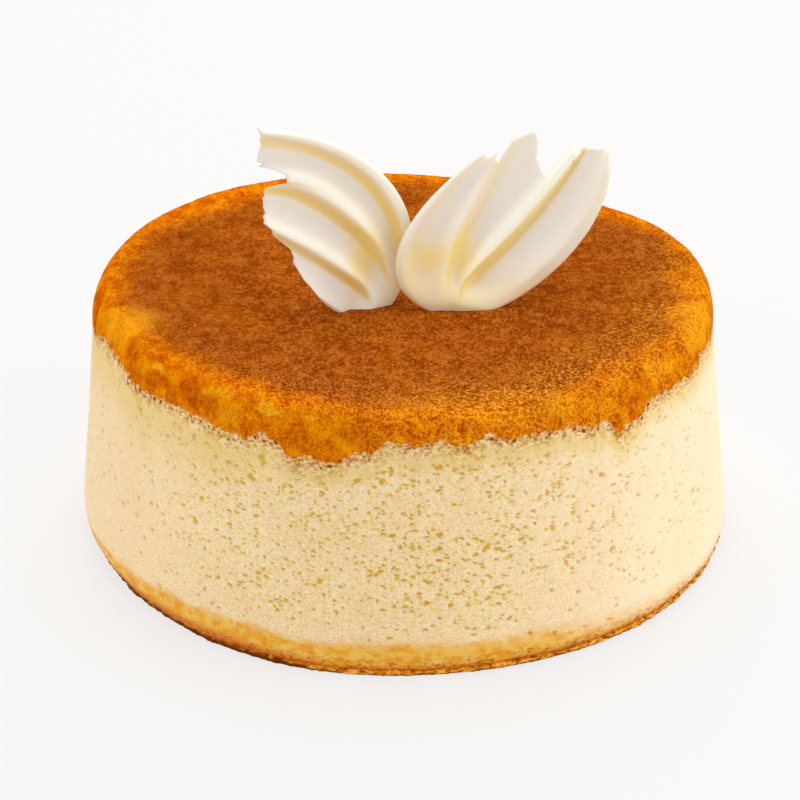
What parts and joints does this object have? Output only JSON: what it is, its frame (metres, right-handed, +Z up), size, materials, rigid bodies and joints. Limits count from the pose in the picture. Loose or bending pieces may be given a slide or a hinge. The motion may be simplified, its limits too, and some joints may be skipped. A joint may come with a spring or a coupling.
{
  "type": "jiggly cheesecake",
  "caption": "Round souffle cheesecake with a browned crumbly top, a pale porous side and white chocolate wings standing on top.",
  "frame": {"origin": "middle of the flat underside that the cake rests on", "axes": "+Z up through the cake; the ribbed faces of the chocolate wings look along -Y"},
  "size_m": [0.1511, 0.1505, 0.1011],
  "materials": {
    "cheesecake_crumb": "pale cream, moist, finely porous crumb",
    "browned_crust": "matt golden to orange-brown, finely granular baked crust",
    "browned_base": "matt golden to brown baked lower edge",
    "white_chocolate": "satin ivory white chocolate"
  },
  "bodies": {
    "root": {"cheesecake": "cheesecake_crumb", "wing_left": "white_chocolate", "wing_right": "white_chocolate"}
  },
  "joints": []
}
